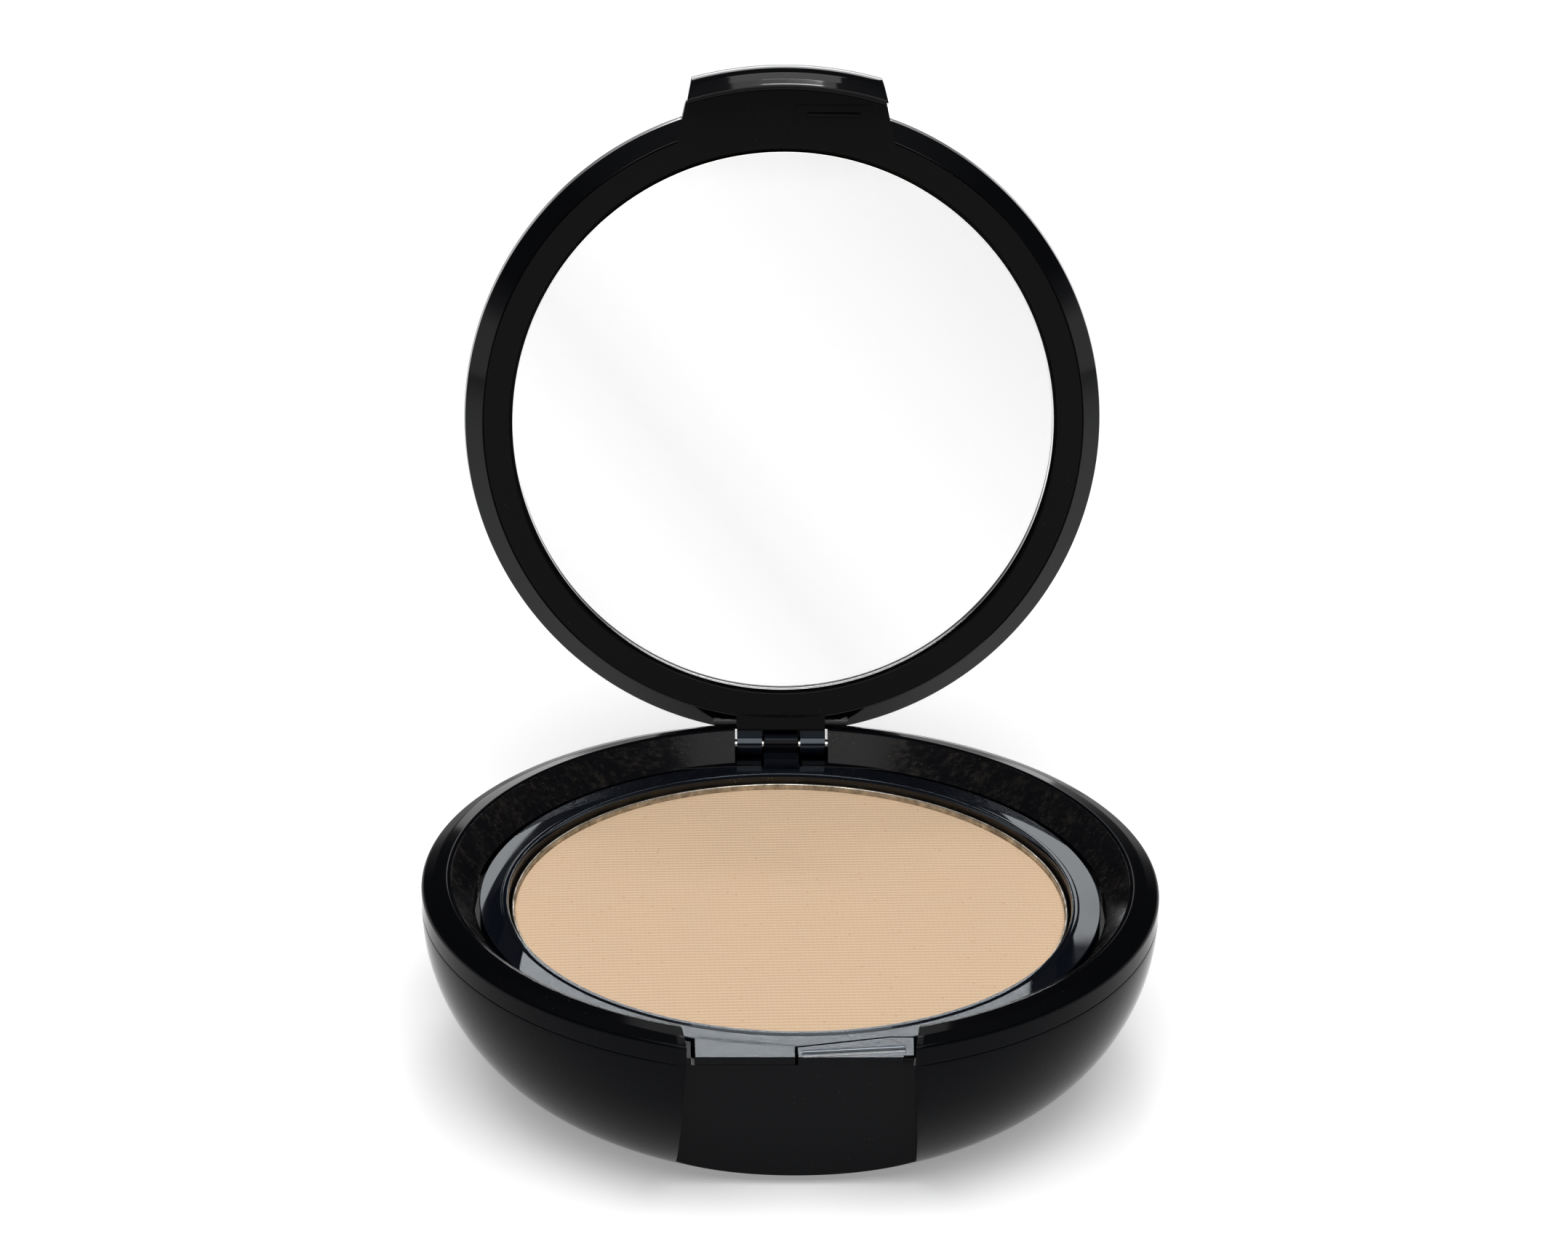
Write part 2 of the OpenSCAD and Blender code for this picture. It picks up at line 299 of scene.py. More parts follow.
def join(*pieces):
    """Makes several pieces one object, under the first one's name."""
    select_only(*pieces)
    bpy.ops.object.join()
    return pieces[0]


def smooth(piece, angle=35):
    """Smooth shading that keeps sharp edges, with flat faces flat up to their rounded edges."""
    select_only(piece)
    bpy.ops.object.shade_smooth_by_angle(angle=math.radians(angle))
    weighted = piece.modifiers.new("weighted normals", "WEIGHTED_NORMAL")
    weighted.keep_sharp = True
    weighted.weight = 80
    apply_all(piece)


def swing_open(piece):
    """Turns a piece that was modelled shut about the hinge pin, into the open lid's place."""
    pin = Vector((0, PIN_Y, PIN_Z)) * MM
    turn = Matrix.Rotation(-OPEN_ANGLE, 4, "X")
    piece.matrix_world = Matrix.Translation(pin) @ turn @ Matrix.Translation(-pin)
    select_only(piece)
    bpy.ops.object.transform_apply(location=True, rotation=True, scale=True)


def round_bar(y, z, r, steps=40):
    """Side outline of a round bar."""
    return [(y + r * math.cos(math.tau * i / steps), z + r * math.sin(math.tau * i / steps))
            for i in range(steps)]


def side_at(sides, y):
    """Half width at y of a shape that narrows evenly between two (half width, y) pairs."""
    (half_a, y_a), (half_b, y_b) = sides
    return half_a + (half_b - half_a) * (y - y_a) / (y_b - y_a)


def side_angle(sides, r):
    """Angle from the front, about Z, at which a circle of radius r meets the side of a narrowing gap."""
    angle = 0.3
    for _ in range(20):
        angle = math.asin(side_at(sides, -r * math.cos(angle)) / r)
    return angle


def settle(piece, body, node, material, others=()):
    """Gives a finished piece its material and its body, and hides the CAD nodes that it stands for."""
    painted = [face.material_index for face in piece.data.polygons]
    piece.data.materials.clear()
    for finish in (material, *others):
        piece.data.materials.append(finish)
    for face, index in zip(piece.data.polygons, painted):
        face.material_index = index
    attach(piece, body)
    for name in node if isinstance(node, tuple) else (node,):
        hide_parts(name)


# ---------------------------------------------------------------- materials

class Nodes:
    """A few short calls for building one material's nodes."""

    def __init__(self, name):
        self.material = bpy.data.materials.new(name)
        self.material.use_nodes = True
        self.tree = self.material.node_tree
        self.shader = self.tree.nodes["Principled BSDF"]
        self.place = self.add("ShaderNodeTexCoord").outputs["Object"]

    def add(self, kind, **values):
        node = self.tree.nodes.new(kind)
        for key, value in values.items():
            setattr(node, key, value)
        return node

    def link(self, a, b):
        self.tree.links.new(a, b)

    def set(self, **sockets):
        for key, value in sockets.items():
            self.shader.inputs[key.replace("_", " ")].default_value = value

    def mapped(self, scale=(1, 1, 1), turn=(0, 0, 0)):
        node = self.add("ShaderNodeMapping")
        node.inputs["Scale"].default_value = scale
        node.inputs["Rotation"].default_value = turn
        self.link(self.place, node.inputs["Vector"])
        return node.outputs["Vector"]

    def noise(self, scale, detail=3, where=None, rough=0.5):
        node = self.add("ShaderNodeTexNoise")
        node.inputs["Scale"].default_value = scale
        node.inputs["Detail"].default_value = detail
        node.inputs["Roughness"].default_value = rough
        self.link(where or self.place, node.inputs["Vector"])
        return node.outputs["Fac"]

    def wave(self, period, where=None, axis="Y", wobble=0, detail=2, detail_scale=1):
        """Even bands along an axis, with the given period in millimetres."""
        node = self.add("ShaderNodeTexWave", wave_type="BANDS", bands_direction=axis, wave_profile="SIN")
        node.inputs["Scale"].default_value = math.pi / (10 * period * MM)
        node.inputs["Distortion"].default_value = wobble
        node.inputs["Detail"].default_value = detail
        node.inputs["Detail Scale"].default_value = detail_scale
        self.link(where or self.place, node.inputs["Vector"])
        return node.outputs["Fac"]

    def specks(self, scale, size):
        """Scattered dots: 1 inside a dot, 0 outside."""
        node = self.add("ShaderNodeTexVoronoi", feature="F1")
        node.inputs["Scale"].default_value = scale
        self.link(self.place, node.inputs["Vector"])
        return self.ramp(node.outputs["Distance"], [(size * 0.6, 1), (size, 0)])

    def ramp(self, value, stops):
        node = self.add("ShaderNodeValToRGB")
        elements = node.color_ramp.elements
        while len(elements) < len(stops):
            elements.new(0.5)
        for element, (at, tone) in zip(elements, stops):
            element.position = at
            element.color = (tone, tone, tone, 1) if isinstance(tone, (int, float)) else (*tone, 1)
        self.link(value, node.inputs["Fac"])
        return node.outputs["Color"]

    def math(self, operation, a, b):
        node = self.add("ShaderNodeMath", operation=operation)
        for socket, value in zip(node.inputs, (a, b)):
            if isinstance(value, (int, float)):
                socket.default_value = value
            else:
                self.link(value, socket)
        return node.outputs[0]

    def mix(self, amount, a, b):
        """Mixes two colours, each a socket or a colour."""
        node = self.add("ShaderNodeMix", data_type="RGBA")
        for socket, value in ((node.inputs[0], amount), (node.inputs[6], a), (node.inputs[7], b)):
            if hasattr(value, "is_linked"):
                self.link(value, socket)
            elif isinstance(value, (int, float)):
                socket.default_value = value
            else:
                socket.default_value = (*value, 1)
        return node.outputs[2]

    def bump(self, height, depth, strength=1):
        """Raises the surface by up to depth millimetres."""
        node = self.add("ShaderNodeBump")
        node.inputs["Strength"].default_value = strength
        node.inputs["Distance"].default_value = depth * MM
        self.link(height, node.inputs["Height"])
        if self.shader.inputs["Normal"].is_linked:
            self.link(self.shader.inputs["Normal"].links[0].from_socket, node.inputs["Normal"])
        self.link(node.outputs["Normal"], self.shader.inputs["Normal"])

    def colour(self, socket):
        self.link(socket, self.shader.inputs["Base Color"])

    def roughness(self, socket):
        self.link(socket, self.shader.inputs["Roughness"])


def moulded_black(name, shade=(0.003, 0.0033, 0.0045), gloss=0.05, shine=0.09, dust=0.07, tint=(1, 1, 1),
                  skin=0.002):
    """Gloss black moulding with a faint orange-peel skin, soft smears and a few dust specks."""
    m = Nodes(name)
    smears = m.noise(90, 5)
    dots = m.math("MULTIPLY", m.specks(1100, dust), m.ramp(m.noise(70, 2), [(0.5, 0), (0.6, 1)]))
    m.colour(m.mix(dots, shade, (0.05, 0.05, 0.05)))
    m.roughness(m.math("ADD", m.ramp(smears, [(0.35, gloss), (0.75, gloss + 0.06)]),
                       m.math("MULTIPLY", dots, 0.3)))
    m.bump(m.noise(160, 2), skin)
    m.set(IOR=1.49, Specular_IOR_Level=shine, Specular_Tint=(*tint, 1))
    return m.material


def scuffed_black(name):
    """The sloping seat: rubbed black plastic with fine round-the-rim scratches and gold powder dust."""
    m = Nodes(name)
    streaks = m.noise(420, 6, m.mapped((1, 1, 0.25)), 0.7)
    fine = m.noise(1800, 4, m.mapped((0.4, 1, 1)), 0.7)
    dots = m.math("MULTIPLY", m.specks(2200, 0.12), m.ramp(m.noise(150, 3), [(0.45, 0), (0.6, 1)]))
    worn = m.ramp(m.math("MULTIPLY", streaks, fine), [(0.22, 0), (0.42, 1)])
    rubbed = m.mix(worn, (0.007, 0.007, 0.009), (0.03, 0.027, 0.022))
    m.colour(m.mix(dots, rubbed, (0.2, 0.15, 0.08)))
    m.roughness(m.ramp(worn, [(0, 0.16), (1, 0.45)]))
    m.bump(fine, 0.006)
    m.set(IOR=1.49, Specular_IOR_Level=0.15)
    return m.material


def dusty_black(name):
    """The wall of the well round the pan: black plastic filmed with brown powder."""
    m = Nodes(name)
    film = m.ramp(m.noise(260, 6, None, 0.65), [(0.3, 0), (0.8, 1)])
    dots = m.specks(2400, 0.13)
    m.colour(m.mix(dots, m.mix(film, (0.006, 0.005, 0.004), (0.04, 0.027, 0.016)), (0.3, 0.22, 0.12)))
    m.roughness(m.ramp(film, [(0, 0.25), (1, 0.6)]))
    m.bump(film, 0.02)
    m.set(IOR=1.49)
    return m.material


def pressed_cake(name):
    """Pressed powder: beige, with the print of the pressing cloth in fine rows, painted shade that darkens
    the low rows of that print, and a few darker grains.
    """
    m = Nodes(name)
    rows = m.wave(0.62, m.mapped(turn=(0, 0, math.radians(-1.5))), "Y", 0.7, 2, 3)
    threads = m.wave(0.5, m.mapped(turn=(0, 0, math.radians(-1.5))), "X", 1.2, 2, 3)
    grain = m.noise(2600, 4, None, 0.7)
    blush = m.noise(120, 4)
    weave = m.math("ADD", m.math("MULTIPLY", rows, 0.86), m.math("MULTIPLY", threads, 0.14))
    height = m.math("ADD", weave, m.math("MULTIPLY", grain, 0.7))
    # painted shade: the cream is darker where the weave is low, in the grooves that the bump presses in
    cream_shaded_in_grooves = m.mix(m.ramp(weave, [(0.15, 0), (0.85, 1)]), (0.745, 0.545, 0.375), (0.81, 0.63, 0.46))
    warmed = m.mix(m.ramp(blush, [(0.45, 0), (0.75, 0.35)]), cream_shaded_in_grooves, (0.82, 0.6, 0.41))
    dots = m.specks(620, 0.1)
    m.colour(m.mix(m.math("MULTIPLY", dots, 0.5), warmed, (0.62, 0.33, 0.17)))
    m.set(Roughness=0.92, IOR=1.4)
    m.shader.inputs["Specular IOR Level"].default_value = 0.15
    m.bump(height, 0.05, 0.8)
    return m.material


def stamped_tin(name):
    """The metal pan: dull silver, stained by powder."""
    m = Nodes(name)
    stain = m.ramp(m.noise(500, 6, None, 0.7), [(0.38, 0), (0.68, 1)])
    m.colour(m.mix(stain, (0.62, 0.60, 0.55), (0.20, 0.17, 0.13)))
    m.roughness(m.ramp(stain, [(0, 0.25), (1, 0.6)]))
    m.set(Metallic=1.0)
    m.bump(stain, 0.02)
    return m.material


def silvering(name):
    """Mirror silver with painted reflection: broad, barely grey slanting bands in its colour that stand in
    for streaks of reflected light.
    """
    m = Nodes(name)
    # painted reflection: the grey bands below are set into the silver's colour along a diagonal across the
    # disc
    slant = m.add("ShaderNodeVectorMath", operation="DOT_PRODUCT")
    m.link(m.place, slant.inputs[0])
    width = 2 * MIRROR_R * MM
    slant.inputs[1].default_value = (0.77 / width, 0, 0.66 / width)
    painted_streak_across = m.math("ADD", slant.outputs["Value"], 0.5 - 0.66 * 54.7 / (2 * MIRROR_R))
    m.colour(m.ramp(painted_streak_across, [(0, 0.94), (0.1, 1), (0.31, 0.91), (0.525, 1), (1, 0.87)]))
    m.set(Metallic=1.0, Roughness=0.0)
    return m.material


def clear_glass(name):
    """Clear mirror glass, a little smeared."""
    m = Nodes(name)
    m.roughness(m.ramp(m.noise(60, 4), [(0.4, 0.0), (0.8, 0.015)]))
    m.set(IOR=1.5)
    m.shader.inputs["Base Color"].default_value = (1.0, 1.0, 1.0, 1)
    m.shader.inputs["Transmission Weight"].default_value = 1.0
    return m.material


def drawn_steel(name):
    """Hinge wire with fine lengthwise drawing marks."""
    m = Nodes(name)
    lines = m.noise(2500, 3, m.mapped((0.05, 1, 1)))
    m.colour(m.mix(lines, (0.55, 0.54, 0.52), (0.72, 0.71, 0.68)))
    m.roughness(m.ramp(lines, [(0, 0.18), (1, 0.38)]))
    m.set(Metallic=1.0)
    return m.material


def velour(name):
    """Brushed velour of the puff."""
    m = Nodes(name)
    pile = m.noise(3200, 4, None, 0.7)
    m.colour(m.mix(pile, (0.62, 0.42, 0.29), (0.78, 0.58, 0.43)))
    m.set(Roughness=0.95)
    m.shader.inputs["Sheen Weight"].default_value = 0.5
    m.bump(pile, 0.12)
    return m.material


def flat_finish(name, dark, light, rough):
    """A plain, slightly mottled finish for labels, tape and glue."""
    m = Nodes(name)
    mottle = m.noise(400, 4)
    m.colour(m.mix(mottle, dark, light))
    m.roughness(m.ramp(mottle, [(0, rough), (1, min(1, rough + 0.15))]))
    m.bump(mottle, 0.01)
    return m.material


BLACK = moulded_black("gloss black moulding")
LID_BLACK = moulded_black("lid black", shine=0.28)
FRAME_BLACK = moulded_black("lid frame black", (0.0062, 0.0058, 0.0058), 0.08, 0.1)
TRAY_BLACK = moulded_black("tray black", (0.006, 0.008, 0.013), 0.02, 0.6, 0.05, (0.82, 0.92, 1), 0.0004)
SEAT_BLACK = scuffed_black("scuffed seat black")
WELL_BLACK = dusty_black("dusty well black")
POWDER = pressed_cake("pressed powder")
TIN = stamped_tin("pan tin")
SILVER = silvering("mirror silver")
GLASS = clear_glass("mirror glass")
STEEL = drawn_steel("hinge steel")
VELOUR = velour("puff velour")
LABEL = flat_finish("label film", (0.62, 0.62, 0.6), (0.7, 0.7, 0.68), 0.35)
TAPE = flat_finish("mounting tape", (0.02, 0.02, 0.02), (0.05, 0.05, 0.05), 0.7)
GLUE = flat_finish("set glue", (0.6, 0.52, 0.36), (0.72, 0.64, 0.47), 0.3)


# ---------------------------------------------------------------- base

def recess_y(z):
    """Where the sloping floor of the thumb recess is at height z."""
    return RECESS_Y + (RECESS_TOP_Z - z) * (RECESS_LOW_Y - RECESS_Y) / (RECESS_TOP_Z - RECESS_LOW_Z)


def recess_tool(back=0.0, z0=-1.0, z1=24.0):
    """The space of the thumb recess as a wedge, moved back when back > 0."""
    half_low = RECESS_HALF + RECESS_FLARE * (SEAM_Z - z0) + back
    half_top = RECESS_HALF + back
    tool = bar("recess tool", [(OUTSIDE_Y, z0), (recess_y(z0) + back, z0), (recess_y(z1) + back, z1),
                               (OUTSIDE_Y, z1)], -1, 1)
    for v in tool.data.vertices:
        v.co.x = math.copysign((half_low if v.co.z < (z0 + z1) * MM / 2 else half_top) * MM, v.co.x)
    return tool


def make_bowl():
    """The deep lower shell, with the thumb recess let into its front."""
    inner_r = CURVE_R - WALL
    foot_arc = math.degrees(math.asin(SEAM_Z / CURVE_R))
    floor_arc = math.degrees(math.asin((SEAM_Z - FLOOR_Z) / inner_r))
    outline = [(0, 0.2, 0), (18.1, 0.2, 0), (18.1, 0, 0.05), (FOOT_R - 0.4, 0, 0)]
    outline += arc(CURVE_X, SEAM_Z, CURVE_R, -foot_arc + 1, 0, 44)[:-1]
    outline += [(BASE_R, SEAM_Z, 0.12), (BASE_R - WALL, SEAM_Z, 0.1)]
    outline += arc(CURVE_X, SEAM_Z, inner_r, 0, -floor_arc, 24)[1:]
    outline += [(0, FLOOR_Z, 0)]
    bowl = lathe("bowl_shell", outline, 256)
    # the wall behind the recess, then the recess itself
    backing = recess_tool(1.5, 0.6, STEP_Z)
    shell = lathe("backing", [(0, 0.3, 0)] + [(r - 0.4, z, 0) for r, z, _ in arc(
        CURVE_X, SEAM_Z, CURVE_R, -foot_arc + 1.5, 0, 24)] + [(0, SEAM_Z, 0)], 96)
    carve(backing, shell, "INTERSECT")
    carve(bowl, backing, "UNION")
    carve(bowl, recess_tool())
    soften(bowl, 0.12, 38, 2)
    smooth(bowl, 32)
    settle(bowl, "base", "base_bowl", BLACK)


RIM_OUTLINE = [
    (31.7, 16.5, 0.1), (37.1, 16.5, 0.1), (37.1, SEAM_Z, 0), (BASE_R, SEAM_Z, 0.1),
    (BASE_R, RIM_Z - 0.74, 0.5), (37.6, RIM_Z - 0.26, 2.0), (36.3, RIM_Z, 0.5),
    (RIM_INNER_R, RIM_Z - 0.08, 0.12),
    (SEAT_FOOT_R, RIM_Z - 3.06, 0.08), (SEAT_FOOT_R, LEDGE_Z, 0), (31.7, LEDGE_Z, 0.05)]


def paint_faces(piece, material_index, test):
    """Gives the faces whose centre (radius, height) in millimetres passes the test another material."""
    for face in piece.data.polygons:
        r = math.hypot(face.center.x, face.center.y) / MM
        if test(r, face.center.z / MM, face.normal):
            face.material_index = material_index


def shelf_half(side):
    """Half of the shelf at the back of the collar, beside the tray's strap, as a plan outline."""
    xs = [STRAP_ROOM + (13.4 - STRAP_ROOM) * i / 12 for i in range(13)]
    front = [(x, SHELF_Y + 0.15 - SHELF_CURVE_R + math.sqrt(SHELF_CURVE_R ** 2 - x * x)) for x in xs]
    back = [(x, math.sqrt(SHELF_BACK_R ** 2 - x * x)) for x in reversed(xs)]
    return [(side * x, y) for x, y in front + back]


def make_collar():
    """The crowned rim with its sloping seat, open at the front notch and at the hinge."""
    def front(r):
        return side_angle(NOTCH_SIDES, r) - math.pi / 2

    def back(r):
        return math.pi / 2 - math.asin(HINGE_HALF / r)

    right = sector("rim_collar", RIM_OUTLINE, front, back)
    left = sector("left", RIM_OUTLINE, lambda r: math.pi - front(r), lambda r: math.pi - back(r))
    shelves = [slab("shelf", shelf_half(side), LEDGE_Z, TRAY_Z, 0.1) for side in (1, -1)]
    # floor of the hinge gap, hollowed round the knuckles
    cradle = bar("cradle", [(33.0, 16.5), (37.0, 16.5), (37.1, SEAM_Z), (38.6, SEAM_Z), (38.6, 19.2),
                            (34.0, TRAY_Z), (33.0, TRAY_Z)], -HINGE_HALF - 0.3, HINGE_HALF + 0.3)
    carve(cradle, bar("pocket", round_bar(PIN_Y, PIN_Z, 1.7), -HINGE_HALF - 1, HINGE_HALF + 1))
    strap_slot = [(-STRAP_ROOM, 30), (STRAP_ROOM, 30), (STRAP_ROOM, 37), (-STRAP_ROOM, 37)]
    carve(cradle, slab("strap slot", strap_slot, LEDGE_Z - 0.1, 30))
    collar = join(right, left, cradle, *shelves)
    smooth(collar, 32)
    settle(collar, "base", "base_collar", BLACK, (SEAT_BLACK,))
    paint_faces(collar, 1,
                lambda r, z, n: r < RIM_INNER_R - 0.15 and z > TRAY_Z - 0.2 and 0.2 < n.z < 0.8)


def keeper_plan(grown=0.0):
    """Plan outline of the latch keeper, grown to the left and the back for the gap round it."""
    back = [(11.5, -31.0), (9.1, -31.0), (-0.2, -33.1)]
    front = [(-0.2, RECESS_Y + 0.02), (10.3, RECESS_Y + 0.02), (10.3, -34.75), (11.35, -34.75)]
    corners = front + [(x, y + grown) for x, y in back]
    return [(x - (grown if x < 0 else 0), y) for x, y in corners]


def make_tray():
    """The lifting tray: a flat ring with a raised bead round the well, a finger tab and a hinge strap."""
    outline = [(0, WELL_FLOOR_Z - 1, 0), (30.75, WELL_FLOOR_Z - 1, 0.5), (30.75, LEDGE_Z, 0.1),
               (TRAY_R, LEDGE_Z, 0.1), (TRAY_R, TRAY_Z, 0.12), (30.62, TRAY_Z, 0.12),
               (30.48, TRAY_Z + 0.16, 0.1), (29.95, TRAY_Z + 0.16, 0.14), (29.8, TRAY_Z - 0.2, 0.1),
               (29.8, WELL_FLOOR_Z, 0.2), (0, WELL_FLOOR_Z, 0)]
    tray = lathe("tray_moulding", outline)
    back_cut = [(-20, 40), (20, 40)] + [
        (x, SHELF_Y - SHELF_CURVE_R + math.sqrt(SHELF_CURVE_R ** 2 - x * x)) for x in range(20, -21, -1)]
    carve(tray, slab("back cut", back_cut, 10, 30))
    finger = [(-10.5, RECESS_Y), (-0.5, RECESS_Y), (-0.5, -32.5), (-10.5, -30.6)]
    tab = slab("finger tab", finger, LEDGE_Z, TRAY_Z)
    carve(tab, recess_tool())
    soften(tab, 0.06, 40)
    carve(tray, slab("keeper room", keeper_plan(KEEPER_GAP), 10, 30))
    strap = bar("strap", [(31.4, LEDGE_Z), (PIN_Y, LEDGE_Z), (PIN_Y, PIN_Z + 0.3), (35.6, TRAY_Z + 0.25),
                          (35.2, TRAY_Z), (31.4, TRAY_Z)], -STRAP_HALF, STRAP_HALF, 0.1)
    knuckle = bar("strap knuckle", round_bar(PIN_Y, PIN_Z, STRAP_KNUCKLE_R), -STRAP_HALF, STRAP_HALF, 0.15)
    tray = join(tray, tab, strap, knuckle)
    smooth(tray, 32)
    settle(tray, "base", "powder_tray", TRAY_BLACK, (WELL_BLACK, BLACK))
    paint_faces(tray, 1, lambda r, z, n: r < 29.95 and WELL_FLOOR_Z - 0.5 < z < TRAY_Z - 0.1)
    paint_faces(tray, 2, lambda r, z, n: r > 33 and n.y < -0.6)


def make_keeper():
    """The latch keeper right of the finger tab: a flat nose with a shallow slanting hollow along it."""
    keeper = slab("keeper_nose", keeper_plan(), STEP_Z, TRAY_Z)
    hollow = bar("hollow", round_bar(0, 0, 2.2, 96), -5.2, 5.2)
    hollow.rotation_euler.z = math.radians(6)
    hollow.location = (5.4 * MM, -33.9 * MM, (TRAY_Z + 2.2 - 0.16) * MM)
    carve(keeper, hollow)
    carve(keeper, recess_tool())
    soften(keeper, 0.06, 40)
    smooth(keeper, 32)
    settle(keeper, "base", "latch_keeper", TRAY_BLACK, (BLACK,))
    paint_faces(keeper, 1, lambda r, z, n: n.y < -0.6)


def make_posts():
    """Two short posts of the bowl, either side of the finger tab and the keeper."""
    left = slab("left post", [(-11.7, RECESS_Y), (-10.88, RECESS_Y), (-10.88, -31.6), (-11.7, -31.4)],
                STEP_Z - 0.5, TRAY_Z - 0.12, 0.06)
    right = slab("right post", [(10.5, RECESS_Y + 0.08), (11.5, RECESS_Y + 0.08), (11.5, -34.95),
                                (10.5, -34.95)], STEP_Z - 0.5, TRAY_Z - 0.2, 0.06)
    joined = join(left, right)
    carve(joined, recess_tool(0.02))
    joined.name = "notch_posts"
    smooth(joined)
    joined.data.materials.append(BLACK)
    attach(joined, "base")


def make_pan():
    """The stamped metal pan with a rolled rim."""
    base_z = WELL_FLOOR_Z + 0.2
    outline = [(0, base_z, 0), (PAN_R, base_z, 0.7), (PAN_R, PAN_Z, 0.14), (PAN_R - PAN_WALL, PAN_Z, 0.14),
               (PAN_R - PAN_WALL, base_z + PAN_WALL, 0.5), (0, base_z + PAN_WALL, 0)]
    pan = lathe("tin_pan", outline)
    smooth(pan)
    settle(pan, "base", "powder_pan", TIN)


def make_powder():
    """The cake of pressed powder, a little crowned and broken down at its edge."""
    edge = PAN_R - PAN_WALL
    rings = [(edge * i / 40, POWDER_Z - 0.02 - 0.16 * (i / 40) ** 6, 0) for i in range(40)]
    outline = [(0, WELL_FLOOR_Z + 0.5, 0), (edge, WELL_FLOOR_Z + 0.5, 0), (edge, POWDER_Z - 0.3, 0.1)]
    outline += list(reversed(rings))
    cake = lathe("powder_cake", outline)
    smooth(cake, 50)
    settle(cake, "base", "pressed_powder", POWDER)


def make_puff():
    """The velour puff in the lower compartment, crowned, with a seam round its middle."""
    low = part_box("applicator_puff")[0] / MM
    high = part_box("applicator_puff")[1] / MM
    r = (high.x - low.x) / 2
    mid = (low.z + high.z) / 2
    outline = [(0, low.z, 0), (r - 4, low.z, 3), (r - 0.6, low.z + 1.2, 1.5), (r, mid - 0.35, 0.3),
               (r - 0.5, mid, 0.2), (r, mid + 0.35, 0.3), (r - 0.6, high.z - 1.4, 1.5),
               (r - 5, high.z - 0.3, 3), (0, high.z, 0)]
    puff = lathe("velour_puff", outline, 120)
    for v in puff.data.vertices:
        v.co.y += (low.y + high.y) / 2 * MM
    smooth(puff, 40)
    settle(puff, "base", "applicator_puff", VELOUR)


# ---------------------------------------------------------------- lid

def dome(inset):
    """The outline of the lid's edge and dome, drawn in by an inset."""
    edge_r = 2.5
    turn = 80
    wide_z = 23.15
    edge_x = LID_R - edge_r
    join_x = edge_x + edge_r * math.cos(math.radians(turn))
    join_z = wide_z + edge_r * math.sin(math.radians(turn))
    dome_r = join_x / math.cos(math.radians(turn))
    dome_z = join_z - dome_r * math.sin(math.radians(turn))
    return arc(edge_x, wide_z, edge_r - inset, 0, turn, 14) + arc(0, dome_z, dome_r - inset, turn, 90, 24)[1:]


def make_lid_shell():
    """The domed outer lid with the tab that hangs over the front of the base."""
    skin = 1.3
    outline = [(32.2, 22, 0), (RING_R, 22, 0), (RING_R, RING_Z, 0.1), (LID_R - 0.2, RIM_Z - 0.3, 0.25)]
    outline += dome(0)
    outline += [(x, z, 0) for x, z, _ in reversed(dome(skin)[14:])]
    outline += [(32.2, 25.0, 0.3)]
    shell = lathe("lid_dome", outline, 256)
    tab_outline = [(33.7, 24.6, 0), (35.2, 24.75, 0.5), (36.8, 24.1, 2), (38.6, 22.5, 3), (39.5, 20.8, 4),
                   (TAB_OUT_R, 19.0, 5), (TAB_OUT_R - 0.2, 17.3, 5), (39.15, 15.9, 1.5),
                   (38.5, TAB_END_Z + 0.87, 0.5), (38.05, TAB_END_Z + 0.28, 0.4), (37.85, TAB_END_Z, 0.15),
                   (TAB_IN_R, TAB_END_Z, 0.12),
                   (TAB_IN_R - 0.1, RING_Z, 0), (37.02, RING_Z, 0), (37.02, 21.6, 0), (33.7, 21.6, 0)]

    def tab_side(r):
        return side_angle(TAB_SIDES, r)

    tab = sector("tab", tab_outline, lambda r: -tab_side(r) - math.pi / 2,
                 lambda r: tab_side(r) - math.pi / 2, 48, 0.25)
    carve(shell, bar("heel relief", round_bar(PIN_Y, PIN_Z, 2.85, 64), -7.6, 7.6))
    carve(shell, slab("tongue seat", [(-5, 30), (5, 30), (5, 40), (-5, 40)], 18, 22))
    carve(shell, tab, "UNION")
    smooth(shell, 32)
    swing_open(shell)
    settle(shell, "lid", "lid_shell", LID_BLACK)


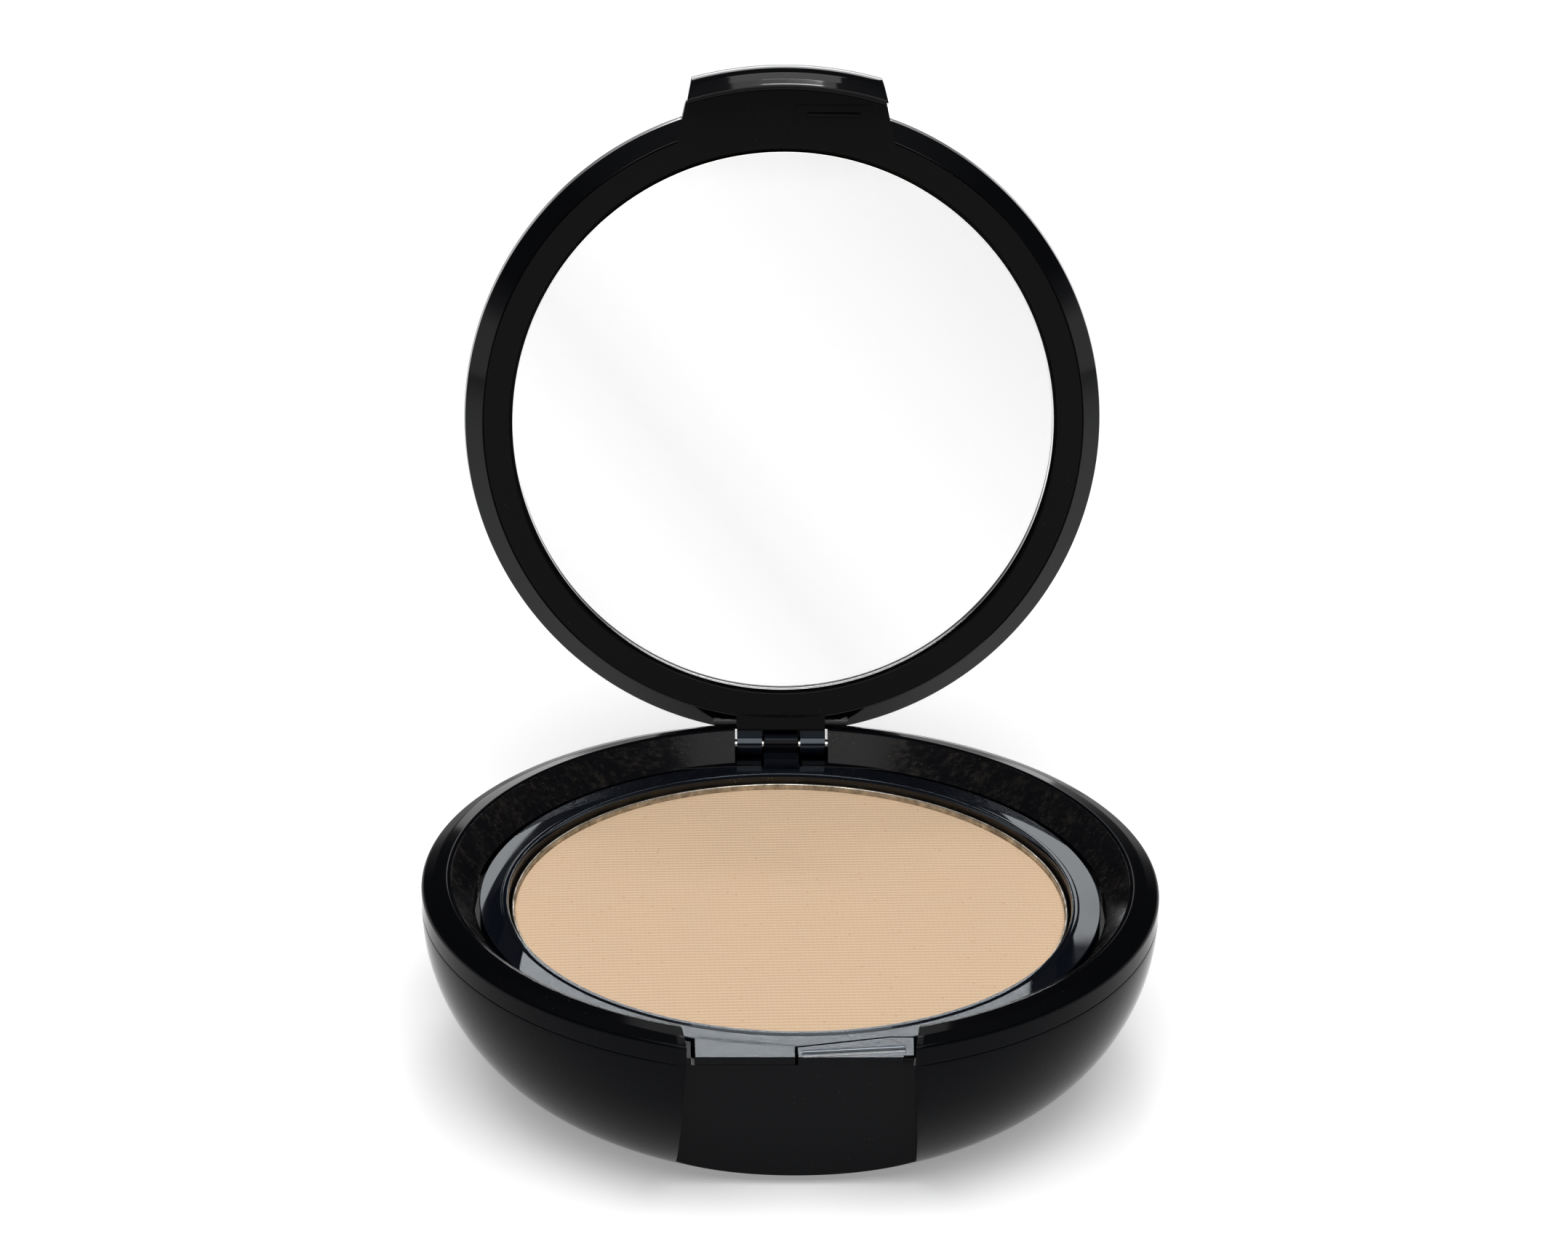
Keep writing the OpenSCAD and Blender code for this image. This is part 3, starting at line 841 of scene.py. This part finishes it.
def make_lid_frame():
    """The inner frame: a flat ring round the mirror, the tab's inner plate and the hinge tongue."""
    outline = [(MIRROR_R + FRAME_LAP, RING_Z, 0.25), (RING_R - 0.04, RING_Z, 0), (RING_R - 0.04, 22, 0),
               (0, 22, 0), (0, RING_Z + 1.9, 0), (MIRROR_R + FRAME_LAP, RING_Z + 1.9, 0)]
    ring = lathe("mirror_frame", outline)
    ys = [-31.2, -33, -35]
    sides = [(side_at(TAB_SIDES, y) - 0.02, y) for y in ys]
    end = math.degrees(side_angle(TAB_SIDES, PLATE_R))
    front = [(PLATE_R * math.sin(math.radians(a)), -PLATE_R * math.cos(math.radians(a)))
             for a in [end - 2 * end * i / 24 for i in range(25)]]
    plan = sides + front + [(-x, y) for x, y in reversed(sides)]
    plate = slab("front plate", plan, RING_Z, RING_Z + 1)
    carve(ring, plate, "UNION")
    tongue = bar("tongue", [(33.0, RING_Z), (PIN_Y, RING_Z), (PIN_Y, PIN_Z + KNUCKLE_R), (35.4, 21.9),
                            (33.0, 21.9)], -TONGUE_HALF, TONGUE_HALF)
    pad = [(34.75, RING_Z + 0.2), (34.75, RING_Z - 0.45), (PIN_Y, RING_Z - 0.6), (PIN_Y, PIN_Z + 1)]
    knuckles = bar("knuckles", round_bar(PIN_Y, PIN_Z, KNUCKLE_R, 48), -TONGUE_HALF, TONGUE_HALF)
    carve(tongue, bar("pad", pad, -TONGUE_HALF, TONGUE_HALF), "UNION")
    carve(tongue, knuckles, "UNION")
    carve(tongue, slab("middle gap", [(-2.15, 34.7), (2.15, 34.7), (2.15, 40), (-2.15, 40)], 10, PIN_Z + 1.4))
    soften(tongue, 0.08, 45)
    tongue.data.materials.append(FRAME_BLACK)
    tongue.data.materials.append(TRAY_BLACK)
    for face in tongue.data.polygons:
        if face.center.y > 34.9 * MM and face.center.z < 20.9 * MM:
            face.material_index = 1
    ring.data.materials.append(FRAME_BLACK)
    lid_frame = join(ring, tongue)
    smooth(lid_frame, 32)
    swing_open(lid_frame)
    settle(lid_frame, "lid", "lid_frame", FRAME_BLACK, (TRAY_BLACK,))


def make_hook():
    """The latch hook: a thin plate let into the tab's underside, with a ridge along it."""
    plate = slab("hook_plate", [(0.9, -35.4), (9.6, -35.4), (9.6, -31.5), (0.9, -31.5)],
                 RING_Z - 0.06, RING_Z + 0.5, 0.04)
    ridge = bar("ridge", round_bar(-34.3, RING_Z + 0.12, 0.35, 24), 2.35, 8.15, 0.08)
    hook = join(plate, ridge)
    smooth(hook, 32)
    swing_open(hook)
    settle(hook, "lid", "latch_hook", FRAME_BLACK)


def make_mirror():
    """The glass disc with a ground edge, and the silver behind it."""
    glass = lathe("glass_disc", [(0, MIRROR_Z, 0), (MIRROR_R, MIRROR_Z, 0.15),
                                 (MIRROR_R, MIRROR_Z + MIRROR_T, 0.1), (0, MIRROR_Z + MIRROR_T, 0)])
    smooth(glass)
    swing_open(glass)
    settle(glass, "lid", "mirror_glass", GLASS)
    back_z = MIRROR_Z + MIRROR_T + SILVER_GAP
    silver = lathe("silver_disc", [(0, back_z, 0), (MIRROR_R, back_z, 0.02),
                                   (MIRROR_R, back_z + SILVER_T, 0.02), (0, back_z + SILVER_T, 0)])
    smooth(silver)
    swing_open(silver)
    settle(silver, "lid", "mirror_silvering", SILVER)


# ---------------------------------------------------------------- studio

def aim(thing, target):
    """Turns a light so that its -Z looks at the target."""
    way = Vector(target) - thing.location
    thing.rotation_euler = way.to_track_quat("-Z", "Y").to_euler()


def softbox(name, place, size, power):
    """A rectangular light, placed in metres, that looks at the middle of the compact."""
    lamp = bpy.data.lights.new(name, "AREA")
    lamp.shape = "RECTANGLE"
    lamp.size, lamp.size_y = size
    lamp.energy = power
    thing = bpy.data.objects.new(name, lamp)
    bpy.context.scene.collection.objects.link(thing)
    thing.location = place
    aim(thing, (0, 0, 0.03))


def make_floor():
    """A wide sheet of pale paper, a little self-lit so that it stays white to the horizon."""
    bpy.ops.mesh.primitive_plane_add(size=12)
    floor = bpy.context.object
    floor.name = "floor"
    m = Nodes("pale paper")
    m.colour(m.mix(m.noise(3, 2), (0.94, 0.94, 0.94), (0.96, 0.96, 0.96)))
    m.set(Roughness=0.9, Emission_Color=(1, 1, 1, 1), Emission_Strength=0.33)
    m.shader.inputs["Specular IOR Level"].default_value = 0.1
    floor.data.materials.append(m.material)


def make_world():
    """A studio that is bright at the horizon, dark above it and dimly lit overhead."""
    world = bpy.data.worlds.new("studio")
    bpy.context.scene.world = world
    world.use_nodes = True
    tree = world.node_tree
    back = tree.nodes["Background"]
    coordinate = tree.nodes.new("ShaderNodeTexCoord")
    split = tree.nodes.new("ShaderNodeSeparateXYZ")
    ramp = tree.nodes.new("ShaderNodeValToRGB")
    tree.links.new(coordinate.outputs["Generated"], split.inputs[0])
    tree.links.new(split.outputs["Z"], ramp.inputs["Fac"])
    tree.links.new(ramp.outputs["Color"], back.inputs["Color"])
    stops = [(0.0, 1.04), (0.16, 1.04), (0.24, 0.3), (0.34, 0.05), (0.65, 0.05), (0.9, 0.3)]
    elements = ramp.color_ramp.elements
    while len(elements) < len(stops):
        elements.new(0.5)
    for element, (at, tone) in zip(elements, stops):
        element.position = at
        element.color = (tone, tone, tone, 1)
    back.inputs["Strength"].default_value = 1.0


def make_camera():
    """A long lens, a little left of the middle, looking down at the open compact."""
    turn = math.radians(-2.0)
    rise = math.radians(23.86)
    roll = math.radians(0.98)
    target = Vector((-1.14, 0, 50.23)) * MM
    distance = 511.6 * MM
    back = Vector((math.sin(turn) * math.cos(rise), -math.cos(turn) * math.cos(rise), math.sin(rise)))
    level = Vector((math.cos(turn), math.sin(turn), 0))
    up = back.cross(level)
    right = level * math.cos(roll) + up * math.sin(roll)
    top = up * math.cos(roll) - level * math.sin(roll)
    place = target + back * distance
    data = bpy.data.cameras.new("camera")
    data.sensor_fit = "HORIZONTAL"
    data.sensor_width = 36
    data.lens = 113.5
    data.clip_start = 0.01
    camera = bpy.data.objects.new("camera", data)
    bpy.context.scene.collection.objects.link(camera)
    camera.matrix_world = Matrix((
        (right.x, top.x, back.x, place.x),
        (right.y, top.y, back.y, place.y),
        (right.z, top.z, back.z, place.z),
        (0, 0, 0, 1)))
    bpy.context.scene.camera = camera


def make_lights():
    """A large light in front, a smaller one with a bright strip behind, and a low card at the back."""
    softbox("front softbox", (0, -0.42, 0.82), (0.95, 0.85), 7.9)
    softbox("back softbox", (0.02, 0.53, 0.80), (0.30, 0.46), 0.85)
    softbox("back lamp", (0.04, 0.456, 0.831), (0.17, 0.05), 0.5)
    softbox("back card", (0, 0.9, 0.3), (0.4, 0.35), 1.1)


make_camera()
make_bowl()
make_collar()
make_tray()
make_keeper()
make_posts()
make_pan()
make_powder()
make_puff()
make_lid_shell()
make_lid_frame()
make_hook()
make_mirror()
for node, material in (("hinge_pin", STEEL), ("foot_label", LABEL), ("mirror_tape", TAPE),
                       ("pan_glue", GLUE)):
    frame["nodes"][node].data.materials.clear()
    frame["nodes"][node].data.materials.append(material)
make_floor()
make_world()
make_lights()
view = bpy.context.scene.view_settings
view.view_transform = "Standard"
view.look = "None"
view.exposure = 0
view.gamma = 0.85
